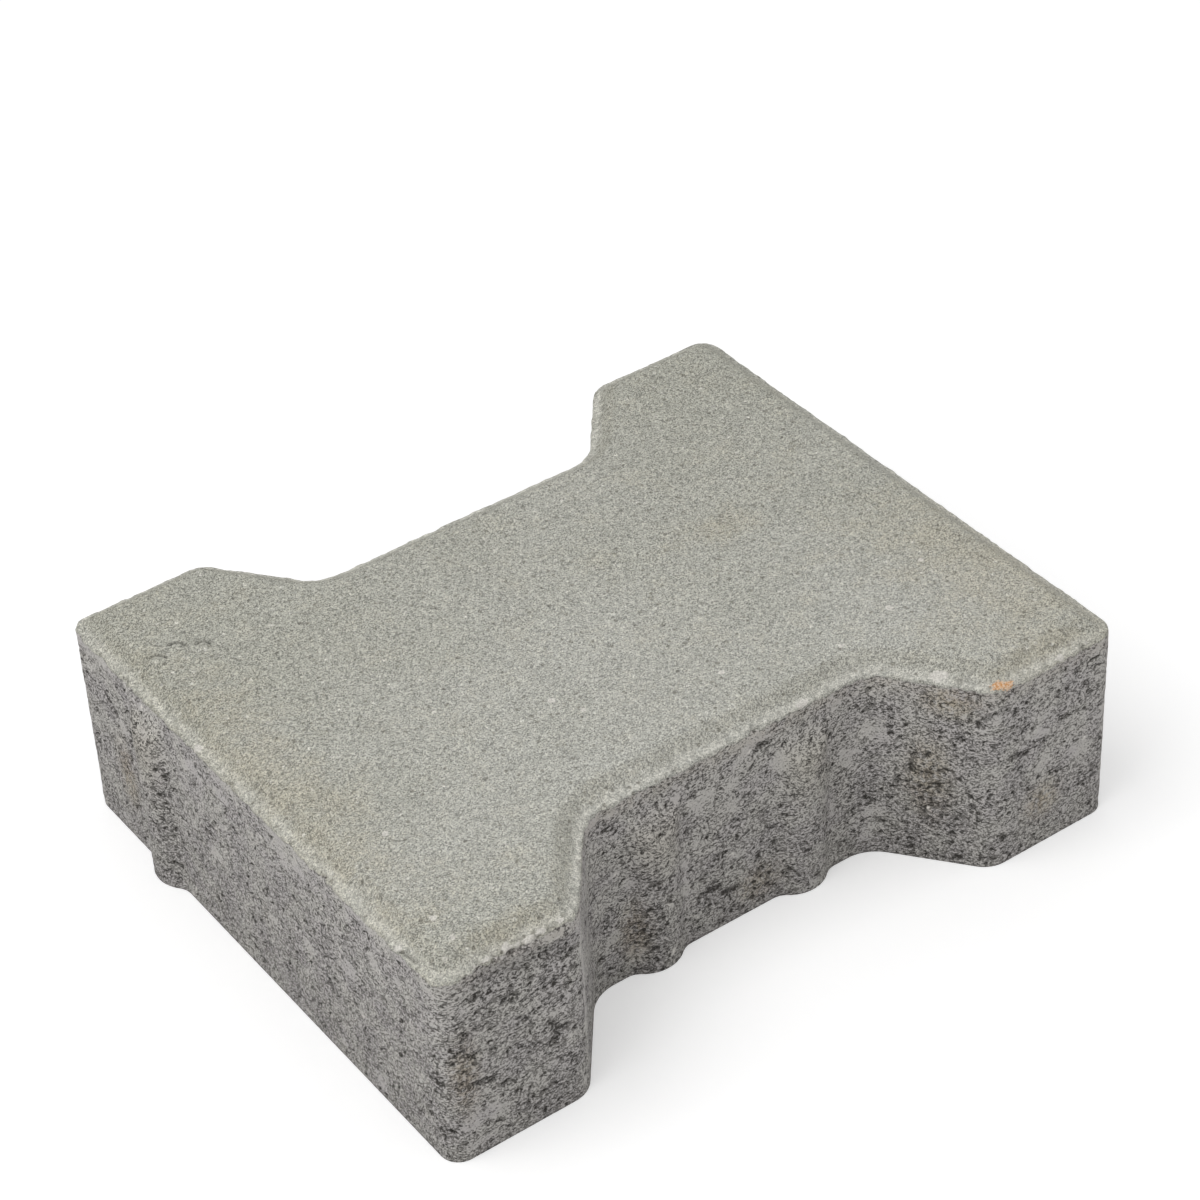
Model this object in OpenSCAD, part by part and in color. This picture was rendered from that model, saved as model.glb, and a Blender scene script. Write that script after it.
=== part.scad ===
// Interlocking concrete paving stone, double-T form.
// The stone lies on its bedding face: the origin is the middle of that face,
// X runs along the row of stones, Y from one notched side to the other, Z up.
// In the next row two neighbouring tabs drop into each notch,
// so the tab width follows from the row pitch, the flank and the joint.

/* [Laying pattern] */
// Pitch of the stones along a row, joint included
row_pitch = 200; // [180:1:240]
// Joint between neighbours, which is also how far the nibs stand out
joint = 3.5; // [2:0.5:5]

/* [Stone] */
// Width over the tab tips
stone_width = 162; // [140:1:200]
// Thickness from bedding face to wearing face
thickness = 60; // [50:1:100]
// Depth of the notch in each long side
notch_depth = 25; // [20:0.5:32]
// Run of the slanted flank, measured along the stone
flank_run = 19.5; // [14:0.5:24]
// Radius of the upright corners at the two ends
end_radius = 5; // [3.5:0.5:8]
// Radius of the upright corners between tab tip and flank
tab_radius = 8; // [4:0.5:12]

/* [Bevelled top edge] */
// Drop from the wearing face to the wall's upper edge
bevel_depth = 4; // [2:0.5:6]
// Run of the sloping part of the bevel
bevel_run = 4.5; // [2:0.5:8]
// Width of the nearly level rim outside the slope
rim_width = 1.6; // [0.6:0.2:3]
// Fall of the rim towards the wall
rim_fall = 0.4; // [0.2:0.1:1]

/* [Spacer nibs] */
// Radius of the nib's rounded nose
nose_radius = 9.5; // [6:0.5:12]
// Radius that blends the nib into the wall
foot_radius = 5; // [2:0.5:8]
// Distance of the two web nibs from the middle of the web
web_nib_offset = 22; // [14:0.5:26]
// Distance of the end nib from the middle of the end face
end_nib_offset = 44; // [20:1:54]
// Depth of the web nibs' upper ends below the wearing face
web_nib_depth = 11; // [7:0.5:20]
// Depth of the end nibs' upper ends below the wearing face
end_nib_depth = 7; // [7:0.5:20]
// Height of the slanted upper end of a nib
nib_taper = 9; // [4:0.5:15]

/* [Hidden] */
$fn = 96;
// Amount by which cutters pass a face, and nibs reach into the wall
overlap = 2;
// Extra radius that lets arcs and straight edges cross cleanly where they would only touch
bite = 0.002;
// Length over which neighbouring bevel cuts overlap
seam = 0.5;
concrete_grey = [0.66, 0.65, 0.61];

stone_length = row_pitch - joint;
half_length = stone_length / 2;
half_width = stone_width / 2;
flank_angle = atan2(notch_depth, flank_run);
// An even joint on the flanks gives the width of the tab tip
tab_width = (half_length - flank_run - joint * (1 / 2 + tan(flank_angle / 2))) / 2;
tab_x = half_length - tab_width;
web_x = tab_x - flank_run;
web_y = half_width - notch_depth;
// The notch root runs round the neighbour's tab corner at the joint's width
root_radius = tab_radius + joint;

// Outline corners anticlockwise: one end and one notched side, then the same turned by half a turn
half_corners = [
    [half_length, -half_width],
    [half_length, half_width],
    [tab_x, half_width],
    [web_x, web_y],
    [-web_x, web_y],
    [-tab_x, half_width],
];
corners = concat(half_corners, -half_corners);
half_radii = [end_radius, end_radius, tab_radius, root_radius, root_radius, tab_radius];
radii = concat(half_radii, half_radii);
last = len(corners) - 1;

function wrap(i) = (i + len(corners)) % len(corners);
// Direction of the edge that leaves corner i, as an angle
function heading(i) = let (step = corners[wrap(i + 1)] - corners[wrap(i)]) atan2(step.y, step.x);
function along(angle) = [cos(angle), sin(angle)];
// Left turn at corner i, negative where the corner is a notch root
function turn(i) = let (a = heading(i) - heading(wrap(i - 1))) a > 180 ? a - 360 : a < -180 ? a + 360 : a;
// Length that the corner rounding takes from each of its two edges
function setback(i) = radii[i] * tan(abs(turn(i)) / 2);
function arc_start(i) = corners[i] - setback(i) * along(heading(wrap(i - 1)));
function arc_end(i) = corners[i] + setback(i) * along(heading(i));
function arc_centre(i) = arc_end(i) + sign(turn(i)) * radii[i] * along(heading(i) + 90);

// Plan of the stone without nibs: straight edges joined by true arcs
module stone_plan() {
    difference() {
        union() {
            polygon([for (i = [0:last]) each [arc_start(i), arc_end(i)]]);
            for (i = [0:last])
                if (turn(i) > 0)
                    translate(arc_centre(i)) circle(radii[i] + bite);
        }
        for (i = [0:last])
            if (turn(i) < 0)
                translate(arc_centre(i)) circle(radii[i] + bite);
    }
}

// Section of what the bevel takes off: x is the distance in from the wall, y the height
module bevel_section() {
    wall_edge = thickness - bevel_depth;
    rim_height = wall_edge + rim_fall;
    top = thickness + overlap;
    slope_end = rim_width + bevel_run * (top - rim_height) / (thickness - rim_height);
    polygon([
        [-overlap, wall_edge - rim_fall * overlap / rim_width],
        [rim_width, rim_height],
        [slope_end, top],
        [-overlap, top],
    ]);
}

// Bevel along the straight edge that leaves corner i, run on into the outer corners it meets
module edge_bevel(i) {
    before = turn(i) > 0 ? seam : 0;
    after = turn(wrap(i + 1)) > 0 ? seam : 0;
    straight = norm(arc_start(wrap(i + 1)) - arc_end(i));
    translate(arc_end(i) - before * along(heading(i)))
        rotate(heading(i))
            rotate([90, 0, 90])
                linear_extrude(before + straight + after) bevel_section();
}

// Bevel round corner i: about a centre in the stone, or in the notch at a root
module corner_bevel(i) {
    outer = turn(i) > 0;
    beyond = outer ? 0 : seam / radii[i] * 180 / PI;
    translate(arc_centre(i))
        rotate((outer ? heading(wrap(i - 1)) - 90 : heading(i) + 90) - beyond)
            rotate_extrude(angle = abs(turn(i)) + 2 * beyond)
                intersection() {
                    translate([radii[i] + bite, 0]) mirror([outer ? 1 : 0, 0]) bevel_section();
                    square([stone_width, 2 * thickness]);
                }
}

// Plan of a nib on a wall along X: a round nose on blended feet
module nib_plan() {
    nose = [0, joint - nose_radius];
    foot_x = sqrt((nose_radius + foot_radius) ^ 2 - (foot_radius - nose.y) ^ 2);
    foot = [foot_x, foot_radius];
    meet = nose + (foot - nose) * nose_radius / (nose_radius + foot_radius);
    difference() {
        union() {
            translate(nose) circle(nose_radius);
            polygon([
                [-foot.x, -overlap], [foot.x, -overlap], [foot.x, 0],
                meet, [-meet.x, meet.y], [-foot.x, 0],
            ]);
        }
        for (side = [-1, 1])
            translate([side * foot.x, foot.y]) circle(foot_radius);
    }
}

// Upright nib on a wall along X, from the bedding face to a slanted upper end
module nib(depth) {
    upper = thickness - depth;
    back = 2 * nose_radius;
    intersection() {
        linear_extrude(upper) nib_plan();
        rotate([90, 0, 90])
            linear_extrude(4 * (nose_radius + foot_radius), center = true)
                polygon([[-back, 0], [joint, 0], [joint, upper - nib_taper], [0, upper], [-back, upper]]);
    }
}

module paving_stone() {
    color(concrete_grey) {
        difference() {
            linear_extrude(thickness) stone_plan();
            for (i = [0:last]) {
                edge_bevel(i);
                corner_bevel(i);
            }
        }
        // The second half of the nibs is the first turned by half a turn
        for (half = [0, 180])
            rotate(half) {
                for (side = [-1, 1])
                    translate([side * web_nib_offset, web_y, 0]) nib(web_nib_depth);
                translate([-half_length, end_nib_offset, 0]) rotate(90) nib(end_nib_depth);
            }
    }
}

paving_stone();
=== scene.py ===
"""Looks of an interlocking concrete paving stone: sandy top, ragged pale rim, pitted walls."""

import math

import bpy
import numpy as np
from mathutils import Matrix, Vector, noise
from mathutils.geometry import delaunay_2d_cdt


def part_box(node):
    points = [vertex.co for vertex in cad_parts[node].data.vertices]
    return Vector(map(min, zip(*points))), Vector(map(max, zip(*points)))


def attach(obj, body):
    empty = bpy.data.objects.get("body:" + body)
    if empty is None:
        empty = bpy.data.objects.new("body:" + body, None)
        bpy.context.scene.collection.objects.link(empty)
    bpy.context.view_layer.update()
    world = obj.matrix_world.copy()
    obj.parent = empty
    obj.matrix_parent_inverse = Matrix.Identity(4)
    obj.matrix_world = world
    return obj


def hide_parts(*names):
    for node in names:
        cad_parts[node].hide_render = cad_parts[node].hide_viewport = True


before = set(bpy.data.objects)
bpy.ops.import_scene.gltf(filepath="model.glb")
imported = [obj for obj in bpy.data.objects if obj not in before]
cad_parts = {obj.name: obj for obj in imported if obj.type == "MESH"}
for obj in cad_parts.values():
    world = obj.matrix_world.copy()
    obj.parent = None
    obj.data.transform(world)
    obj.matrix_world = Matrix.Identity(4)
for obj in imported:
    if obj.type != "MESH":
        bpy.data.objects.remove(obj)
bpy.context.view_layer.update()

# Sizes of the stone in millimetres, the overall ones from the frame
MM = 0.001
JOINT = 3.5
low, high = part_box("paving_stone")
LENGTH = (high.x - low.x) / MM - 2 * JOINT
WIDTH = (high.y - low.y) / MM
THICKNESS = (high.z - low.z) / MM
NOTCH_DEPTH = 25
WEB_Y = WIDTH / 2 - NOTCH_DEPTH
FLANK_RUN = 19.5
END_RADIUS = 5
TAB_RADIUS = 8
ROOT_RADIUS = TAB_RADIUS + JOINT

# Section of the top edge
BEVEL_DEPTH = 4
BEVEL_RUN = 4.5
RIM_WIDTH = 1.6
RIM_FALL = 0.4
BEVEL_END = RIM_WIDTH + BEVEL_RUN
WALL_EDGE = THICKNESS - BEVEL_DEPTH

# Spacer nibs
NOSE_RADIUS = 9.5
FOOT_RADIUS = 5
WEB_NIB_PLACES = (-22, 22)
END_NIB_OFFSET = 44
WEB_NIB_DEPTH = 11
END_NIB_DEPTH = 7
NIB_TAPER = 9

# Mesh spacing
COLUMN_STEP = 0.9
WALL_STEP = 0.72
EDGE_STEP = 0.5
TOP_STEP = 1.7
BUSY_STEP = 0.4
BOTTOM_STEP = 6
BUSY_MARGIN = 1.2
PLAIN_MARGIN = 1.5
JITTER = 0.18
RANDOM_SEED = 7
EDGE_MARGIN = 2.5
CRISP_MARGIN = 1.5
CRISP_ROUNDS = 2
SOFT_ROUNDS = 12
SHARPEST_CORNER = 1.2

# Marks on the wearing face: plan place and radius
BLISTERS = ((-90.7, 49.7, 2.6), (-84.3, 51.1, 2.2), (-79.1, 47.7, 2.0))
PALE_STONES = (
    (58, -44.2, 1.2), (76.1, -34.4, 0.9), (-81.5, -36.3, 1.1), (-88.4, -65.8, 1.1), (-88.5, -73.3, 0.9),
    (-25.5, -21.6, 1.2), (-21.6, -29, 0.9), (40.3, -48.1, 0.9), (11.8, -38.3, 1),
)

# Warmer zones of the wearing face: plan place and reach
WARM_ZONES = (
    ((88, -46), (40, 70)), ((-92, -10), (22, 120)), ((45, 8), (20, 12)), ((-78, -80), (30, 10)),
    ((80, -80), (30, 14)),
)

# Damage along the top edge: place in space and reach
CHIPS = (
    (-86.5, -81, 56, 2.6), (-82.3, -81, 56.4, 3), (-78.6, -81, 55.4, 2.6), (-75, -81, 56.2, 3),
    (-71.5, -81, 55.8, 2.4), (-67.8, -81, 56.2, 2), (56.2, -72.3, 56, 2), (-98.2, 53.5, 55.6, 2.4),
    (8, -56, 56, 2.2), (-15, -56, 56.2, 1.8), (88, -81, 56, 2.2), (-98.2, 5, 56, 2),
    (-98.2, -35, 56.2, 2.4),
)
PEBBLE_FORM = np.array([1.4, 1, 0.8])
EDGE_PEBBLES = (
    (54.2, -68.4, 56.3, 3.1), (-97.9, -65.4, 56.2, 1.6), (-84.6, -80.4, 56.4, 1.5),
    (-79.4, -80.8, 56.2, 2.4), (-73.2, -80.8, 55.8, 2.6), (80, -80.6, 56.2, 2),
    (22, -55.8, 56.2, 2.2), (-97.6, 20, 56.2, 2),
    (-87.6, -80.6, 56.3, 1.4), (-76.4, -80.8, 56, 1.8), (-70.4, -80.6, 56.2, 1.5),
    (-65, -80.4, 56.2, 1.4),
)
RUST_SPOTS = (((62.2, -79.5, 56.3), (4, 3, 1.8)), ((64, -80.7, 55.9), (4, 3, 1.8)))

# Hollow below the broken rim of the front left tab: x and height of its ends
RECESS_ENDS = ((-88, 52.5), (-60, 48))
RECESS_HALF_HEIGHT = 2.8

# Marks on the walls: place in space and reach, or the two ends of a crack
SMOOTH_SPOTS = (
    ((-66.5, -81, 52.6), (7, 3, 3)), ((-58.8, -78.2, 26), (2.6, 2.6, 40)),
    ((6.4, -56, 53), (7, 4, 4)), ((15.1, -56, 43), (4, 4, 6)), ((-8.6, -56, 43), (5, 4, 6)),
    ((1, -56, 43), (4, 4, 4)), ((35, -56, 33), (5, 5, 6)), ((-98.25, -20, 50), (4, 12, 5)),
    ((-98.25, 24, 48), (4, 8, 5)), ((-91, -81, 12), (6, 4, 5)), ((88, -81, 24), (4, 3, 4)),
    ((-13.5, -56.4, 20), (1.2, 2, 26)), ((30.5, -56.4, 20), (1.2, 2, 26)),
)
ROUGH_SPOTS = (
    ((51, -69, 16), (14, 16, 32)), ((-99, 38, 24), (5, 5, 36)), ((-98.25, 56, 34), (5, 4, 18)),
    ((-24, -58, 10), (9, 6, 16)), ((-78, -81, 43), (24, 4, 11)),
)
FRESH_SPOTS = (((80, -81, 26), (26, 6, 42)),)
DIRT_SPOTS = (
    ((54, -72, 51), (12, 12, 8)),
    ((-29, -57, 14), (7, 5, 14)), ((8, -57, 8), (10, 4, 9)), ((-93, -81, 26), (6, 4, 18)),
    ((50, -69, 26), (8, 10, 20)), ((-98.2, 60, 22), (4, 7, 16)), ((76, -81, 14), (9, 4, 9)),
)
CRACKS = (
    ((-70.5, -81, 29), (-67.5, -81, 25.2)), ((-67.5, -81, 25.2), (-63.4, -81, 24.2)),
    ((-67.5, -81, 25.2), (-69.8, -81, 22.6)), ((-91.3, -81, 31.2), (-85.5, -81, 30)),
    ((-81.7, -81, 42.7), (-77.2, -81, 42.3)), ((-92, -81, 22.6), (-85.4, -81, 21)),
    ((-7.1, -56, 13.1), (-3.5, -56, 13.4)), ((-2.5, -56, 10.6), (2, -56, 9.6)),
    ((-28.6, -58.5, 19.6), (-20, -59, 21.4)), ((-26.3, -59, 28.3), (-19.6, -59, 27.7)),
    ((13.1, -57, 9.6), (19.2, -58.5, 7.6)), ((9, -56, 50.4), (13.7, -56, 49.8)),
    ((77.8, -81, 22), (83.4, -81, 20.2)), ((80.8, -81, 37.5), (88.9, -81, 36.3)),
    ((65.8, -81, 32.9), (71.5, -81, 31.7)), ((-98.2, 64.6, 43), (-98.2, 60.2, 40)),
    ((-98.2, 37.8, 41), (-98.2, 38.6, 27)),
)
SLIT = ((-97.6, -66.5, 56.2), (-97, -71.8, 56.3))

# Camera, fitted to the photograph
CAMERA_PLACE = Vector((-0.3630, -0.5435, 0.5739))
CAMERA_FORWARD = Vector((0.4414, 0.6532, -0.6152))
CAMERA_DOWN = Vector((-0.3887, -0.4788, -0.7872))
FOCAL_LENGTH = 103.45
SENSOR = 36

# Light and floor, in metres and watts
WORLD_STRENGTH = 0.62
KEY_PLACE = (-0.68, 0.0, 1.38)
KEY_SIZE = 1.0
KEY_WATTS = 9.2
FLOOR_REACH = 9
FLOOR_TONE = (0.8, 0.8, 0.8, 1)
WHITE = (1, 1, 1, 1)
GLOW_NEAR = 0.35
GLOW_GAIN = 0.18
GLOW_START = 0.4
GLOW_END = 2

# Relief in millimetres: depth below the smooth stone, or rise above it
PIT_DEPTH = 0.7
CRACK_DEPTH = 0.7
CHIP_DEPTH = 1.2
RECESS_DEPTH = 0.9
PEBBLE_RISE = 0.4
BLISTER_RISE = 0.7
LONG_WAVES = 0.12
SHORT_WAVES = 0.09
FACE_WAVES = 0.05
FINE_BURR = 0.28
LONG_BURR = 0.12
BURR_REACH = 1.4

# Grains, pits and blotches of the material: sizes in millimetres, and stretch along x, y and z
SAND_GRAIN = 0.27
COARSE_GRAIN = 1.3
GRIT_SIZE = 1.5
BLOTCH_SIZE = 9
FINE_PIT = 0.6
FINE_PIT_FORM = (1.1, 1.1, 0.75)
OPEN_PIT = 1.0
OPEN_PIT_FORM = (1.2, 1.2, 0.65)
LUMP_SIZE = 1.9
LUMP_FORM = (1.3, 1.3, 0.75)
DARK_GRAIN_SHARE = 0.08
LIGHT_GRAIN_SHARE = 0.035

# Colours from 0 to 255, and tints that a colour is multiplied by
# Top colours at the front and at the back; the step between them carries painted shade from front to back
# as well as tone
TOP_FRONT = (185, 185, 179)
TOP_BACK = (170, 170, 161)
TOP_YELLOW = (180, 177, 160)
WARM_TINT = (255, 251, 244)
SLOPE_TINT = (246, 245, 243)
RIM_PALE = (208, 206, 197)
GRAIN_DARK = (104, 100, 88)
GRAIN_LIGHT = (216, 214, 207)
SKIN_COOL = (188, 184, 182)
SKIN_WARM = (191, 188, 183)
SKIN_TAN = (191, 186, 170)
DIRT_TINT = (242, 233, 217)
# Painted shade for the insides of fine pits and open pits
FINE_PIT_SHADE = (88, 85, 80)
OPEN_PIT_SHADE = (44, 41, 36)
# Painted shade for the gaps between lumps
SEAM_SHADE = (50, 47, 42)
PEBBLE_DULL = (205, 201, 194)
PEBBLE_LIGHT = (236, 232, 225)
RUST_DEEP = (206, 150, 98)
RUST_PALE = (228, 200, 172)


def corner_table():
    """Outline corners anticlockwise from the front right, and the rounding of each."""
    half_length = LENGTH / 2
    half_width = WIDTH / 2
    flank_angle = math.atan2(NOTCH_DEPTH, FLANK_RUN)
    tab = (half_length - FLANK_RUN - JOINT * (0.5 + math.tan(flank_angle / 2))) / 2
    tab_x = half_length - tab
    web_x = tab_x - FLANK_RUN
    half = np.array([
        [half_length, -half_width],
        [half_length, half_width],
        [tab_x, half_width],
        [web_x, WEB_Y],
        [-web_x, WEB_Y],
        [-tab_x, half_width],
    ])
    radii = [END_RADIUS, END_RADIUS, TAB_RADIUS, ROOT_RADIUS, ROOT_RADIUS, TAB_RADIUS]
    return np.vstack([half, -half]), np.array(radii * 2, float)


CORNERS, RADII = corner_table()


def outline_parts(inset):
    """Heading, turn, arc centre, radius, start, end and normal of each corner, drawn in by inset."""
    step = np.roll(CORNERS, -1, axis=0) - CORNERS
    leaving = step / np.linalg.norm(step, axis=1)[:, None]
    normal = np.stack([leaving[:, 1], -leaving[:, 0]], axis=1)
    arriving = np.roll(leaving, 1, axis=0)
    normal_in = np.roll(normal, 1, axis=0)
    cross = arriving[:, 0] * leaving[:, 1] - arriving[:, 1] * leaving[:, 0]
    turn = np.arctan2(cross, (arriving * leaving).sum(axis=1))
    miter = (normal + normal_in) / (1 + (normal * normal_in).sum(axis=1))[:, None]
    corner = CORNERS - inset * miter
    radius = np.where(turn > 0, np.maximum(RADII - inset, SHARPEST_CORNER), RADII + inset)
    setback = (radius * np.tan(abs(turn) / 2))[:, None]
    start = corner - arriving * setback
    end = corner + leaving * setback
    centre = end - normal * (np.sign(turn) * radius)[:, None]
    return np.arctan2(normal_in[:, 1], normal_in[:, 0]), turn, centre, radius, start, end, normal


def point_counts():
    """How many points each corner arc and each straight edge gets, at any inset."""
    _, turn, _, radius, start, end, _ = outline_parts(0)
    straight = np.linalg.norm(np.roll(start, -1, axis=0) - end, axis=1)
    arcs = np.ceil(abs(turn) * radius / COLUMN_STEP).astype(int)
    return arcs, np.ceil(straight / COLUMN_STEP).astype(int)


ARC_POINTS, STRAIGHT_POINTS = point_counts()


def ring(inset):
    """Plan points of the outline drawn in by inset, and their outward normals."""
    heading, turn, centre, radius, start, end, normal = outline_parts(inset)
    points, normals = [], []
    for i in range(len(CORNERS)):
        share = np.linspace(0, 1, ARC_POINTS[i], endpoint=False)
        angle = heading[i] + turn[i] * share
        spoke = np.stack([np.cos(angle), np.sin(angle)], axis=1)
        points.append(centre[i] + np.sign(turn[i]) * radius[i] * spoke)
        normals.append(spoke)
        share = np.linspace(0, 1, STRAIGHT_POINTS[i], endpoint=False)[:, None]
        points.append(end[i] + (start[(i + 1) % len(start)] - end[i]) * share)
        normals.append(np.repeat(normal[i][None], len(share), axis=0))
    return np.vstack(points), np.vstack(normals)


def nib_profile(across):
    """How far a nib stands out of its wall at a distance across from its middle."""
    nose_y = JOINT - NOSE_RADIUS
    foot_x = math.sqrt((NOSE_RADIUS + FOOT_RADIUS) ** 2 - (FOOT_RADIUS - nose_y) ** 2)
    meet_x = foot_x * NOSE_RADIUS / (NOSE_RADIUS + FOOT_RADIUS)
    nose = nose_y + np.sqrt(np.maximum(NOSE_RADIUS**2 - across**2, 0))
    foot = FOOT_RADIUS - np.sqrt(np.maximum(FOOT_RADIUS**2 - (foot_x - abs(across)) ** 2, 0))
    return np.where(abs(across) < meet_x, nose, np.where(abs(across) < foot_x, foot, 0))


def nib_height(points, normals, height):
    """How far the nibs stand out at plan points of the wall, at one height."""
    total = np.zeros(len(points))
    for side in (-1, 1):
        places = [((x, side * WEB_Y), (0, side), WEB_NIB_DEPTH) for x in WEB_NIB_PLACES]
        places.append(((side * LENGTH / 2, -side * END_NIB_OFFSET), (side, 0), END_NIB_DEPTH))
        for middle, facing, depth in places:
            along = np.array([-facing[1], facing[0]])
            across = (points - middle) @ along
            behind = abs((points - middle) @ facing)
            on_wall = (normals @ facing > 0.999) & (behind < 1)
            slant = np.clip((THICKNESS - depth - height) / NIB_TAPER, 0, 1) * JOINT
            total += np.where(on_wall, np.minimum(nib_profile(across), slant), 0)
    return total


def smoothed(values, rounds):
    """Values averaged with their neighbours, the two ends kept."""
    for _ in range(rounds):
        inner = (values[:-2] + 2 * values[1:-1] + values[2:]) / 4
        values = np.concatenate([values[:1], inner, values[-1:]])
    return values


def edge_section():
    """Inset and height of the rows from the top of the wall over the rim to the wearing face."""
    turns = np.array([
        [0, WALL_EDGE - EDGE_MARGIN],
        [0, WALL_EDGE],
        [RIM_WIDTH, WALL_EDGE + RIM_FALL],
        [BEVEL_END, THICKNESS],
        [BEVEL_END + EDGE_MARGIN, THICKNESS],
    ])
    travel = np.concatenate([[0], np.cumsum(np.linalg.norm(np.diff(turns, axis=0), axis=1))])
    stops = np.linspace(0, travel[-1], round(travel[-1] / EDGE_STEP) + 1)
    rows = [np.interp(stops, travel, turns[:, axis]) for axis in (0, 1)]
    rows = [smoothed(row, CRISP_ROUNDS) for row in rows]
    crisp = np.searchsorted(stops, travel[2] + CRISP_MARGIN)
    return [np.concatenate([row[:crisp], smoothed(row[crisp:], SOFT_ROUNDS)]) for row in rows]


def inside(points, polygon):
    """Which plan points lie inside a polygon."""
    result = np.zeros(len(points), bool)
    for (x0, y0), (x1, y1) in zip(polygon, np.roll(polygon, -1, axis=0)):
        if y0 == y1:
            continue
        spans = (points[:, 1] < y0) != (points[:, 1] < y1)
        result ^= spans & (points[:, 0] < x0 + (points[:, 1] - y0) * (x1 - x0) / (y1 - y0))
    return result


def grid_points(step, rng):
    """Jittered triangular grid over the whole plan."""
    reach = np.array([LENGTH, WIDTH]) / 2
    rows = np.arange(-reach[1], reach[1], step * math.sqrt(0.75))
    columns = np.arange(-reach[0], reach[0], step)
    grid = np.array([(x + (i % 2) * step / 2, y) for i, y in enumerate(rows) for x in columns])
    return grid + rng.uniform(-JITTER, JITTER, grid.shape) * step


def near_marks(points, margin):
    """Which plan points lie on or close to a mark of the wearing face."""
    result = np.zeros(len(points), bool)
    for x, y, radius in BLISTERS + PALE_STONES:
        result |= np.hypot(points[:, 0] - x, points[:, 1] - y) < radius + margin
    return result


def top_points(limit, rng):
    """Plan points of the wearing face inside a limit, closer together round its marks."""
    plain = grid_points(TOP_STEP, rng)
    busy = grid_points(BUSY_STEP, rng)
    grid = np.vstack([plain[~near_marks(plain, PLAIN_MARGIN)], busy[near_marks(busy, BUSY_MARGIN)]])
    return grid[inside(grid, limit)]


def fill(border, grid):
    """Triangles that join grid points to the border and to each other."""
    plan = [Vector(p) for p in np.vstack([border, grid])]
    loop = [(i, (i + 1) % len(border)) for i in range(len(border))]
    _, _, faces, origin, _, _ = delaunay_2d_cdt(plan, loop, [], 1, 1e-6)
    return np.array([[origin[i][0] for i in face] for face in faces])


def layer(plan, height, inset, nib=0):
    """Vertices at one height, as x, y, height, inset from the outline and how far each is nib."""
    table = np.zeros((len(plan), 5))
    table[:, :2] = plan
    table[:, 2] = height
    table[:, 3] = inset
    table[:, 4] = nib
    return table


def side_layers(section_inset, section_height):
    """Layers of vertices up the walls with their nibs, and over the edge to the wearing face."""
    wall_top = section_height[0]
    plan, normals = ring(0)
    layers = []
    for height in np.linspace(0, wall_top, round(wall_top / WALL_STEP) + 1)[:-1]:
        out = nib_height(plan, normals, height)
        layers.append(layer(plan + out[:, None] * normals, height, 0, out / JOINT))
    for inset, height in zip(section_inset, section_height):
        points, _ = ring(inset)
        layers.append(layer(points, height, inset))
    return layers


def base_mesh():
    """Vertices of the smooth stone, one layer after another, and its faces."""
    rng = np.random.default_rng(RANDOM_SEED)
    section_inset, section_height = edge_section()
    layers = side_layers(section_inset, section_height)
    count = len(layers[0])
    used = len(layers) * count
    column = np.arange(count)
    following = np.roll(column, -1)
    faces = []
    for start in range(0, used - count, count):
        lower = [start + column, start + following]
        upper = [start + count + following, start + count + column]
        faces += np.stack(lower + upper, axis=1).tolist()

    # Wearing face
    limit, _ = ring(section_inset[-1] + TOP_STEP / 2)
    grid = top_points(limit, rng)
    index = np.concatenate([used - count + column, used + np.arange(len(grid))])
    faces += index[fill(layers[-1][:, :2], grid)].tolist()
    layers.append(layer(grid, THICKNESS, section_inset[-1] + 1))
    used += len(grid)

    # Bedding face
    limit, _ = ring(BOTTOM_STEP / 2)
    grid = grid_points(BOTTOM_STEP, rng)
    grid = grid[inside(grid, limit)]
    index = np.concatenate([column, used + np.arange(len(grid))])
    faces += index[fill(layers[0][:, :2], grid)][:, ::-1].tolist()
    layers.append(layer(grid, 0, 0))
    return np.vstack(layers), faces


def field(points, size, seed):
    """Fractal noise at each point, about -1 to 1, with features of the given size in millimetres."""
    places = (points / size + seed * 17.3).tolist()
    return np.array([noise.fractal(place, 0.7, 2.0, 2) for place in places])


def ramp(values, start, end):
    """Smooth step from 0 at start to 1 at end."""
    share = np.clip((values - start) / (end - start), 0, 1)
    return share * share * (3 - 2 * share)


def spot(points, place, reach):
    """1 at a place, falling smoothly to 0 at its reach, in plan or in space."""
    offset = (points[:, : len(place)] - place) / reach
    return ramp(np.linalg.norm(offset, axis=1), 1, 0)


def strongest(points, spots):
    """Strongest of several spots at each point, each given as a place and a reach."""
    return np.max([spot(points, place, reach) for place, reach in spots], axis=0)


def line_gap(points, start, end):
    """Distance of each point from a straight line between two places."""
    run = np.array(end) - start
    along = np.clip((points - start) @ run / (run @ run), 0, 1)
    return np.linalg.norm(points - start - along[:, None] * run, axis=1)


def crescent(points, place, radius):
    """Open crack round the far side of a blister."""
    offset = points[:, :2] - place
    distance = np.linalg.norm(offset, axis=1)
    facing = offset @ (0.56, 0.83) / np.maximum(distance, 0.01)
    return ramp(abs(distance - radius), 0.65, 0.1) * ramp(facing, 0.3, 0.7)


def recess_share(points):
    """How deep in the hollow below the broken rim each point lies, from 0 to 1."""
    (x0, z0), (x1, z1) = RECESS_ENDS
    middle = z0 + (points[:, 0] - x0) * (z1 - z0) / (x1 - x0)
    above = points[:, 2] - middle
    band = ramp(above, RECESS_HALF_HEIGHT, RECESS_HALF_HEIGHT - 1.2)
    band *= ramp(above, -RECESS_HALF_HEIGHT - 3, 0)
    ends = ramp(points[:, 0], x0 - 2, x0 + 3) * ramp(points[:, 0], x1 + 1, x1 - 4)
    return band * ends * (points[:, 1] < -WIDTH / 2 + 3)


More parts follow.
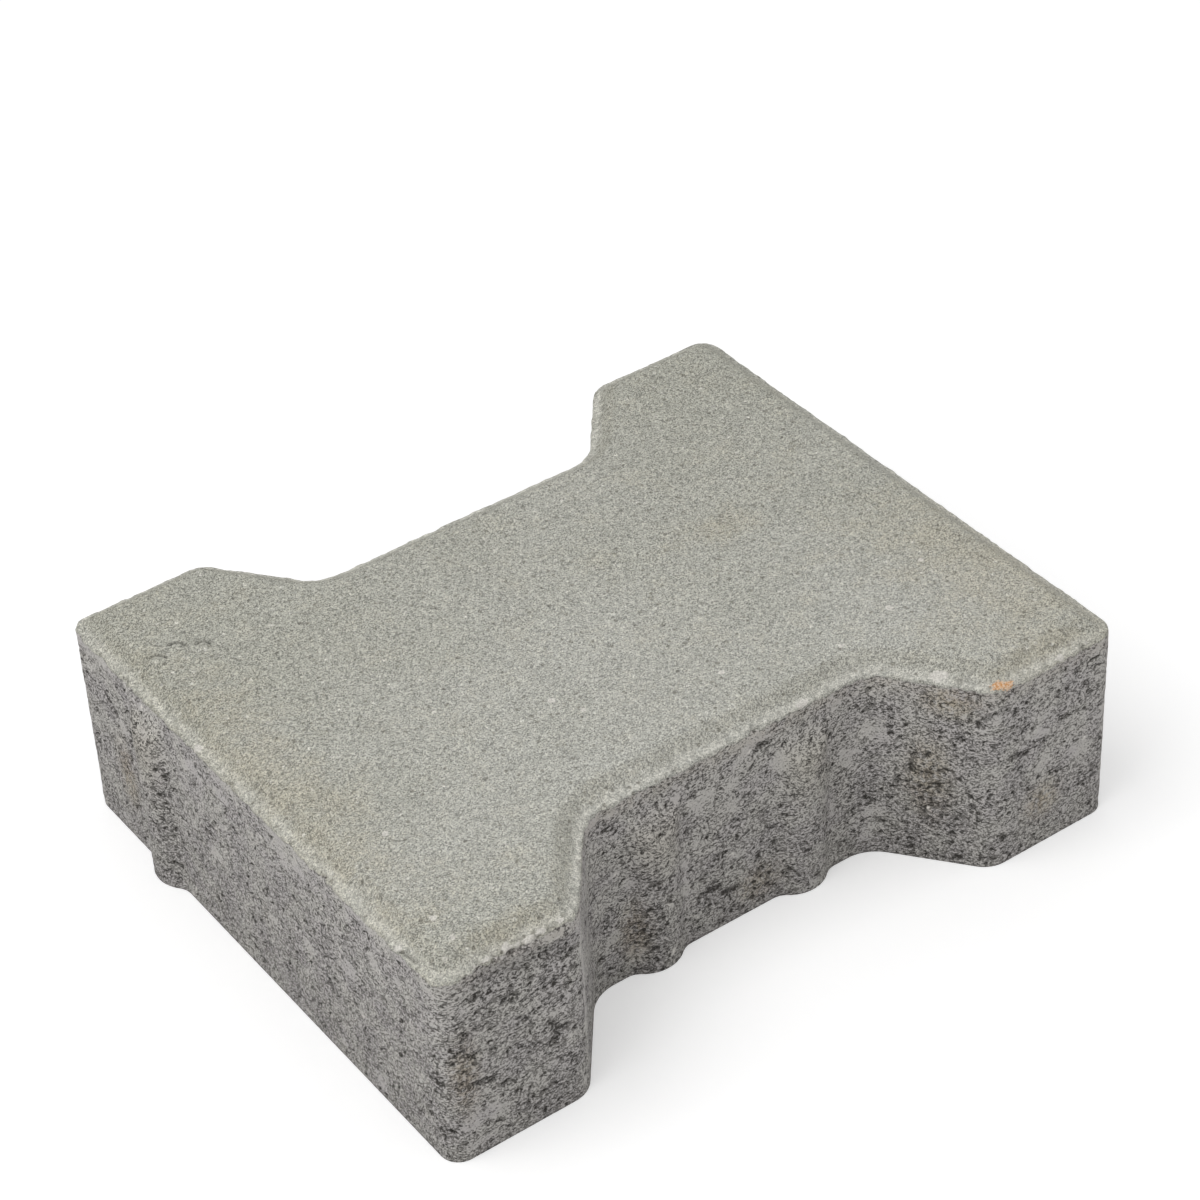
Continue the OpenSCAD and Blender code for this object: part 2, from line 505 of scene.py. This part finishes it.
class Surface:
    """Vertices of the smooth stone in millimetres, with the relief and looks that are put on them."""

    def __init__(self, table, normals):
        self.points = table[:, :3]
        self.height = table[:, 2]
        self.inset = table[:, 3]
        self.nib = table[:, 4]
        self.under = (self.height < 0.01) & (normals[:, 2] < -0.9)
        self.ragged = field(self.points, 2.8, 5)
        self.relief = np.zeros(len(table))
        self.pale = np.zeros(len(table))
        self.looks = {}


def mark_zones(s):
    """Wall, rim, slope and wearing face with ragged borders, the rim and slope fainter at both ends."""
    x = s.points[:, 0]
    s.wall = ramp(s.height + 0.8 * s.ragged, WALL_EDGE - 0.2, WALL_EDGE - 1.8)
    s.wall[s.under] = 1
    s.upright = s.wall * ~s.under * ramp(s.height, 0, 1.5)
    s.top = ramp(s.inset, BEVEL_END - 0.8, BEVEL_END + 0.7)
    rim = ramp(s.inset + 0.7 * s.ragged, RIM_WIDTH + 2, RIM_WIDTH - 0.6) * (1 - s.wall)
    crest = rim * ramp(s.inset + 0.5 * s.ragged, -0.6, 0.9)
    slope = (1 - s.wall) * (1 - rim) * (1 - s.top)
    faint = 1 - 0.6 * ramp(x, LENGTH / 2 - 12, LENGTH / 2 - 5)
    faint -= 0.22 * ramp(-x, LENGTH / 2 - 12, LENGTH / 2 - 5)
    s.looks["wall"] = s.wall
    s.looks["rim"] = crest * faint
    s.looks["slope"] = slope * faint


def weather_and_shade_top(s):
    """Darker and warmer parts of the top: painted shade from the front to the back, and darker, warmer
    tone towards the ends, at the front tabs and in random blotches.
    """
    x = s.points[:, 0]
    y = s.points[:, 1]
    # Painted shade: the y term makes the top lighter at the front and darker at the back
    weather_and_shade = 0.4 + y / WIDTH + 1.2 * (x / LENGTH) ** 2 + 0.25 * field(s.points, 40, 9)
    weather_and_shade += 0.4 * ramp(-y, WEB_Y - 8, WEB_Y + 14)
    s.looks["weather_and_shade"] = np.clip(weather_and_shade, 0, 1)
    s.looks["warm"] = strongest(s.points, WARM_ZONES)


def smooth_skin(s, clumps, calm, recess):
    """Share of the wall that the mould pressed smooth: patches, and most of the strip below the rim."""
    left_end = ramp(-s.points[:, 0], LENGTH / 2 - 4, LENGTH / 2 - 1)
    patch = 0.8 * ramp(field(s.points / (1, 1, 0.8), 7, 6), 0.45, 0.75)
    spots = 0.85 * strongest(s.points, SMOOTH_SPOTS) + 0.6 * s.ragged
    patch = np.maximum(patch, ramp(spots, 0.1, 0.75))
    patch = np.maximum(patch, (0.4 + 0.35 * left_end) * calm * ramp(clumps, -0.5, 0.3))
    return patch * (s.upright * (1 - recess))


def finish_walls(s):
    """Smooth skin of the walls, waves and pits between, and the hollow below the broken rim."""
    clumps = field(s.points, 11, 1)
    calm = ramp(s.height, WALL_EDGE - 7, WALL_EDGE)
    recess = recess_share(s.points)
    patch = smooth_skin(s, clumps, calm, recess)
    rough = s.upright * strongest(s.points, ROUGH_SPOTS)
    rough = np.where(rough > 0, rough, -0.7 * s.upright * strongest(s.points, FRESH_SPOTS))
    pit = field(s.points / (1, 1, 0.7), 2.2, 2) + 0.2 * clumps - 0.2 * calm + 0.2 * rough
    s.pit = ramp(pit, 0.38, 0.72) * s.upright * (1 - patch)
    waves = LONG_WAVES * field(s.points, 9, 3) + SHORT_WAVES * field(s.points, 2, 4) * (1 - 0.8 * patch)
    s.relief += s.upright * waves - PIT_DEPTH * s.pit
    s.relief -= RECESS_DEPTH * recess
    s.looks["patch"] = patch
    s.looks["rough"] = rough
    # The recess share also darkens the wall colour as painted shade
    s.looks["recess"] = recess


def stain_walls(s):
    """Dirt below the rim and in spots, tan upper parts of the nibs, and height up the wall."""
    dirt = 0.3 * s.upright * ramp(s.height, WALL_EDGE - 7, WALL_EDGE - 1)
    dirt *= ramp(-s.points[:, 0], LENGTH / 2, LENGTH / 2 - 8.25)
    s.looks["dirt"] = np.maximum(dirt, s.upright * strongest(s.points, DIRT_SPOTS))
    s.looks["tan"] = s.nib * ramp(s.height, 22, 46)
    s.looks["rise"] = np.clip(s.height / WALL_EDGE, 0, 1)


def open_cracks(s):
    """Ragged cracks in the walls, and one straight slit in the rim."""
    gap = np.min([line_gap(s.points, start, end) for start, end in CRACKS], axis=0)
    slit = 0.8 * ramp(line_gap(s.points, *SLIT), 0.6, 0.1)
    s.crack = np.maximum(ramp(gap + 0.7 * s.ragged, 0.9, 0.2), slit)


def wear_edge(s):
    """Burr, chips, pebbles and rust along the top edge."""
    edge = np.exp(-((s.inset / BURR_REACH) ** 2) - ((s.height - WALL_EDGE) / BURR_REACH) ** 2)
    s.relief += edge * (FINE_BURR * s.ragged + LONG_BURR * field(s.points, 9, 8))
    for *place, reach in CHIPS:
        bite = spot(s.points, place, 0.8 * reach)
        s.relief -= CHIP_DEPTH * bite
        # A chip also counts as crack: it gets deeper and is darkened with painted shade
        s.crack = np.maximum(s.crack, 0.6 * bite)
    for *place, reach in EDGE_PEBBLES:
        knob = spot(s.points, place, reach * PEBBLE_FORM)
        s.relief += PEBBLE_RISE * knob
        s.pale = np.maximum(s.pale, 0.85 * ramp(knob + 0.45 * s.ragged, 0.1, 0.75))
    s.looks["rust"] = strongest(s.points, RUST_SPOTS)


def mark_face(s):
    """Faint waves, blisters with a crack on one side, and pale stones of the wearing face."""
    s.relief += (1 - s.wall) * FACE_WAVES * field(s.points, 4, 7)
    for x, y, radius in BLISTERS:
        s.relief += s.top * BLISTER_RISE * spot(s.points, (x, y), radius * 1.1)
        s.pale = np.maximum(s.pale, 0.4 * s.top * ramp(spot(s.points, (x, y), radius), 0.2, 0.7))
        s.crack = np.maximum(s.crack, s.top * crescent(s.points, (x, y), radius))
    for x, y, radius in PALE_STONES:
        grain = ramp(spot(s.points, (x, y), radius * 1.3), 0.05, 0.6)
        s.pale = np.maximum(s.pale, 0.9 * s.top * grain)


def stone_mesh():
    """The stone with its relief, as one closed mesh with a value per vertex for each part of its look."""
    table, faces = base_mesh()
    mesh = bpy.data.meshes.new("stone")
    mesh.from_pydata((table[:, :3] * MM).tolist(), [], faces)
    normals = np.zeros(len(table) * 3)
    mesh.vertex_normals.foreach_get("vector", normals)
    normals = normals.reshape(-1, 3)
    s = Surface(table, normals)
    for work in (mark_zones, weather_and_shade_top, finish_walls, stain_walls, open_cracks, wear_edge, mark_face):
        work(s)
    # Pits and cracks share one value, which the material darkens as painted shade in the hollows
    s.looks["pit"] = np.maximum(s.pit, s.crack)
    s.looks["pale"] = s.pale
    s.relief -= CRACK_DEPTH * s.crack
    s.relief[s.under] = 0
    moved = s.points + normals * s.relief[:, None]
    moved[:, 2] = np.maximum(moved[:, 2], 0)
    mesh.vertices.foreach_set("co", (moved * MM).ravel())
    for name, values in s.looks.items():
        attribute = mesh.attributes.new(name, "FLOAT", "POINT")
        attribute.data.foreach_set("value", values.astype(np.float32))
    mesh.shade_smooth()
    mesh.update()
    return mesh


def linear(colour):
    """Linear RGBA of a colour written as three numbers from 0 to 255."""
    share = np.array(colour) / 255
    share = np.where(share <= 0.04045, share / 12.92, ((share + 0.055) / 1.055) ** 2.4)
    return (*share.tolist(), 1)


class Graph:
    """Short forms for building the nodes of a material or a world."""

    def __init__(self, owner):
        owner.use_nodes = True
        self.owner = owner
        self.tree = owner.node_tree
        self.shader = self.tree.nodes.get("Principled BSDF") or self.tree.nodes.get("Background")

    def add(self, kind, inputs, **settings):
        """A new node with its inputs set to numbers or linked to sockets."""
        node = self.tree.nodes.new("ShaderNode" + kind)
        for key, value in settings.items():
            setattr(node, key, value)
        for key, value in inputs.items():
            self.feed(node, key, value)
        return node

    def feed(self, node, key, value):
        """Set or link one input of a node."""
        if isinstance(value, bpy.types.NodeSocket):
            self.tree.links.new(value, node.inputs[key])
        else:
            node.inputs[key].default_value = value

    def math(self, operation, *values):
        """Result of a math node."""
        return self.add("Math", dict(enumerate(values)), operation=operation).outputs[0]

    def plus(self, total, value, weight):
        """A total with a weighted value added."""
        return self.math("MULTIPLY_ADD", value, weight, total)

    def total(self, start, *parts):
        """A start value with weighted values added, each given as a value and its weight."""
        for value, weight in parts:
            start = self.plus(start, value, weight)
        return start

    def step(self, value, start, end):
        """Smooth step from 0 at start to 1 at end."""
        inputs = {"Value": value, "From Min": start, "From Max": end}
        return self.add("MapRange", inputs, interpolation_type="SMOOTHSTEP").outputs[0]

    def spread(self, value, amount):
        """Factor that varies about 1 as a value varies about a half."""
        return self.math("MULTIPLY_ADD", value, amount, 1 - amount / 2)

    def mix(self, share, start, end, blend="MIX"):
        """Colour between two colours."""
        node = self.add("Mix", {0: share, 6: start, 7: end}, data_type="RGBA", blend_type=blend)
        return node.outputs[2]

    def lay(self, colour, paint, share, weight):
        """Colour covered by paint to a weighted share."""
        return self.mix(self.math("MULTIPLY", share, weight), colour, linear(paint))

    def stain(self, colour, tint, share):
        """Colour multiplied by a tint to a share."""
        return self.mix(share, colour, self.mix(1, colour, linear(tint), "MULTIPLY"))

    def tint(self, colour, factor):
        """Colour made brighter or darker by a factor."""
        return self.add("VectorMath", {0: colour, 3: factor}, operation="SCALE").outputs[0]

    def attribute(self, name):
        """Value that the mesh carries per vertex."""
        return self.add("Attribute", {}, attribute_name=name).outputs["Fac"]

    def place(self, size, stretch):
        """Place on the object, counted in features of a size in millimetres."""
        scale = [1 / (size * MM * part) for part in stretch]
        coordinates = self.add("TexCoord", {}).outputs["Object"]
        return self.add("Mapping", {"Vector": coordinates, "Scale": scale}).outputs[0]

    def noise(self, size, detail=2, stretch=(1, 1, 1), roughness=0.55):
        """Fractal noise from 0 to 1 with features of a size in millimetres."""
        inputs = {"Scale": 1, "Detail": detail, "Roughness": roughness}
        inputs["Vector"] = self.place(size, stretch)
        return self.add("TexNoise", inputs).outputs["Fac"]

    def seams(self, size, stretch, bend):
        """Distance from the seams between lumps of a size in millimetres, shifted by a bend."""
        shifted = self.add("VectorMath", {0: self.place(size, stretch), 1: bend}, operation="ADD")
        inputs = {"Vector": shifted.outputs[0], "Scale": 1}
        return self.add("TexVoronoi", inputs, feature="DISTANCE_TO_EDGE").outputs["Distance"]

    def background_ray(self):
        """1 for a ray that shows the camera the background, straight or by a mirror or glass."""
        path = self.add("LightPath", {}).outputs
        mirrored = self.math("MAXIMUM", path["Is Glossy Ray"], path["Is Transmission Ray"])
        return self.math("MAXIMUM", path["Is Camera Ray"], mirrored)

    def cells(self, size):
        """Two random values per grain of a size in millimetres, and the distance from its middle."""
        node = self.add("TexVoronoi", {"Vector": self.place(size, (1, 1, 1)), "Scale": 1})
        split = self.add("SeparateColor", {"Color": node.outputs["Color"]}).outputs
        return split[0], split[1], node.outputs["Distance"]


def top_look(g, shade, hue, grit, clumps):
    """Colour and height of the sandy top: grains over faint blotches, with a paler rim."""
    weather_and_shade, rim = g.attribute("weather_and_shade"), g.attribute("rim")
    chance, _, distance = g.cells(COARSE_GRAIN)
    round_grain = g.step(distance, 0.55, 0.2)
    dark_grain = g.math("MULTIPLY", g.math("LESS_THAN", chance, DARK_GRAIN_SHARE), round_grain)
    light_grain = g.math("MULTIPLY", g.math("GREATER_THAN", chance, 1 - LIGHT_GRAIN_SHARE), round_grain)
    # From the front colour to the back colour: the front-to-back part of this is painted shade
    colour = g.mix(weather_and_shade, linear(TOP_FRONT), linear(TOP_BACK))
    colour = g.lay(colour, TOP_YELLOW, hue, 0.3)
    colour = g.tint(colour, g.spread(clumps, 0.09))
    warmth = g.total(g.math("MULTIPLY", g.attribute("warm"), 0.5), (clumps, 0.9), (grit, 0.7))
    colour = g.stain(colour, WARM_TINT, g.step(warmth, 0.75, 1.5))
    colour = g.stain(colour, SLOPE_TINT, g.attribute("slope"))
    colour = g.lay(colour, RIM_PALE, g.math("MULTIPLY", rim, g.step(grit, 0.28, 0.6)), 0.75)
    colour = g.lay(colour, GRAIN_DARK, dark_grain, 0.5)
    colour = g.lay(colour, GRAIN_LIGHT, light_grain, 0.5)
    sand = g.plus(g.math("MULTIPLY", shade, 0.75), grit, 0.25)
    contrast = g.total(1.34, (rim, -0.45), (weather_and_shade, 0.3))
    colour = g.tint(colour, g.plus(1, g.math("SUBTRACT", sand, 0.5), contrast))
    # Cracks, chips, the slit and pits darkened: painted shade in their hollows, as well as their real
    # depth
    colour = g.tint(colour, g.plus(1, g.attribute("pit"), -0.65))
    height = g.plus(g.math("MULTIPLY", shade, 0.12), dark_grain, -0.15)
    return colour, height


def wall_pits(g, shade, clumps, patch):
    """Shares of the wall that are fine pits and open pits."""
    pit, rough = g.attribute("pit"), g.attribute("rough")
    level = g.total(
        g.noise(FINE_PIT, stretch=FINE_PIT_FORM, roughness=0.6),
        (shade, 0.12), (pit, -0.12), (patch, 0.08), (clumps, 0.04), (rough, -0.02),
        (g.attribute("rise"), 0.04),
    )
    open_level = g.total(
        g.noise(OPEN_PIT, stretch=OPEN_PIT_FORM, roughness=0.6),
        (pit, 0.14), (clumps, -0.09), (patch, -0.12), (rough, 0.025), (shade, 0.06),
    )
    return g.step(level, 0.59, 0.515), g.step(open_level, 0.59, 0.62)


def wall_look(g, shade, grit, clumps):
    """Colour and height of the walls: skin pressed smooth by the mould, broken by pits of many sizes
    whose insides carry painted shade.
    """
    patch = g.step(g.plus(g.attribute("patch"), grit, 0.9), 0.7, 1.2)
    fine, holes = wall_pits(g, shade, clumps, patch)
    skin = g.mix(g.step(clumps, 0.35, 0.65), linear(SKIN_COOL), linear(SKIN_WARM))
    skin = g.lay(skin, SKIN_TAN, g.attribute("tan"), 0.5)
    skin = g.stain(skin, DIRT_TINT, g.math("MULTIPLY", g.attribute("dirt"), g.step(grit, 0.25, 0.6)))
    skin = g.tint(skin, g.spread(shade, 0.24))
    skin = g.tint(skin, g.plus(1, patch, -0.05))
    skin = g.tint(skin, g.spread(g.attribute("rise"), 0.07))
    # Fine pits and open pits darkened: painted shade for their insides, along with the bump
    skin = g.lay(skin, FINE_PIT_SHADE, fine, 0.7)
    skin = g.lay(skin, OPEN_PIT_SHADE, holes, 0.78)
    # Dark gaps between lumps: painted shade in the gaps
    seam = g.step(g.seams(LUMP_SIZE, LUMP_FORM, g.math("MULTIPLY", grit, 1.5)), 0.1, 0.03)
    open_seam = g.step(g.total(grit, (clumps, -0.2), (patch, -0.2)), 0.4, 0.46)
    skin = g.lay(skin, SEAM_SHADE, g.math("MULTIPLY", seam, open_seam), 0.6)
    # Painted shade in the hollow below the broken rim, on top of its real depth
    skin = g.tint(skin, g.plus(1, g.attribute("recess"), -0.2))
    height = g.plus(g.math("MULTIPLY", fine, -0.2), holes, -0.4)
    return skin, height


def concrete():
    """Pressed concrete with a sandy top, a pale rim and pitted walls."""
    g = Graph(bpy.data.materials.new("concrete"))
    shade, hue, _ = g.cells(SAND_GRAIN)
    grit = g.noise(GRIT_SIZE)
    clumps = g.noise(BLOTCH_SIZE, 1)
    wall = g.step(g.total(g.attribute("wall"), (grit, 0.8), (shade, 0.3)), 0.9, 1.2)
    top_colour, top_height = top_look(g, shade, hue, grit, clumps)
    wall_colour, wall_height = wall_look(g, shade, grit, clumps)
    colour = g.mix(wall, top_colour, wall_colour)
    pale = g.step(g.plus(g.attribute("pale"), grit, 1.4), 1.0, 1.4)
    pebble = g.mix(shade, linear(PEBBLE_DULL), linear(PEBBLE_LIGHT))
    colour = g.mix(g.math("MULTIPLY", pale, 0.8), colour, pebble)
    rust = g.step(g.total(g.attribute("rust"), (grit, 1.0), (shade, 0.4)), 1.2, 1.35)
    rusty = g.mix(g.step(hue, 0.1, 0.7), linear(RUST_DEEP), linear(RUST_PALE))
    colour = g.mix(rust, colour, rusty)
    g.feed(g.shader, "Base Color", colour)
    height = g.add("Mix", {0: wall, 2: top_height, 3: wall_height}, data_type="FLOAT").outputs[0]
    bump = g.add("Bump", {"Height": height, "Distance": MM, "Strength": 1})
    g.feed(g.shader, "Normal", bump.outputs[0])
    g.feed(g.shader, "Roughness", g.plus(0.75, grit, 0.2))
    g.feed(g.shader, "Specular IOR Level", 0.25)
    return g.owner


def studio_floor():
    """Matt pale floor that the camera sees as white, apart from the shadow on it."""
    g = Graph(bpy.data.materials.new("floor"))
    g.feed(g.shader, "Base Color", FLOOR_TONE)
    g.feed(g.shader, "Roughness", 1.0)
    g.feed(g.shader, "Specular IOR Level", 0.0)
    away = g.add("VectorMath", {0: g.place(1 / MM, (1, 1, 1))}, operation="LENGTH").outputs["Value"]
    glow = g.plus(GLOW_NEAR, g.step(away, GLOW_START, GLOW_END), GLOW_GAIN)
    g.feed(g.shader, "Emission Color", WHITE)
    g.feed(g.shader, "Emission Strength", g.math("MULTIPLY", g.background_ray(), glow))
    return g.owner


def add_camera():
    """Camera at the photograph's place."""
    data = bpy.data.cameras.new("camera")
    data.sensor_width = SENSOR
    data.lens = FOCAL_LENGTH
    camera = bpy.data.objects.new("camera", data)
    forward = CAMERA_FORWARD.normalized()
    right = CAMERA_DOWN.cross(forward).normalized()
    up = right.cross(forward)
    turned = Matrix((right, up, -forward)).transposed().to_4x4()
    camera.matrix_world = Matrix.Translation(CAMERA_PLACE) @ turned
    bpy.context.scene.collection.objects.link(camera)
    bpy.context.scene.camera = camera


def add_light(name, place, size, watts):
    """Square soft light aimed at the stone."""
    data = bpy.data.lights.new(name, "AREA")
    data.size = size
    data.energy = watts
    lamp = bpy.data.objects.new(name, data)
    lamp.location = place
    lamp.rotation_euler = (-Vector(place)).to_track_quat("-Z", "Y").to_euler()
    bpy.context.scene.collection.objects.link(lamp)


def add_world(strength):
    """Even white light from all round, which the camera sees as plain white."""
    g = Graph(bpy.data.worlds.new("studio"))
    g.feed(g.shader, "Color", WHITE)
    g.feed(g.shader, "Strength", g.math("MAXIMUM", g.background_ray(), strength))
    bpy.context.scene.world = g.owner


add_camera()
stone = bpy.data.objects.new("stone", stone_mesh())
bpy.context.scene.collection.objects.link(stone)
stone.data.materials.append(concrete())
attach(stone, "root")
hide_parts("paving_stone")

floor_mesh = bpy.data.meshes.new("floor")
floor_corners = [(x * FLOOR_REACH, y * FLOOR_REACH, 0) for x, y in ((-1, -1), (1, -1), (1, 1), (-1, 1))]
floor_mesh.from_pydata(floor_corners, [], [(0, 1, 2, 3)])
floor_mesh.materials.append(studio_floor())
floor = bpy.data.objects.new("floor", floor_mesh)
bpy.context.scene.collection.objects.link(floor)

add_world(WORLD_STRENGTH)
add_light("key", KEY_PLACE, KEY_SIZE, KEY_WATTS)

bpy.context.scene.view_settings.view_transform = "Standard"
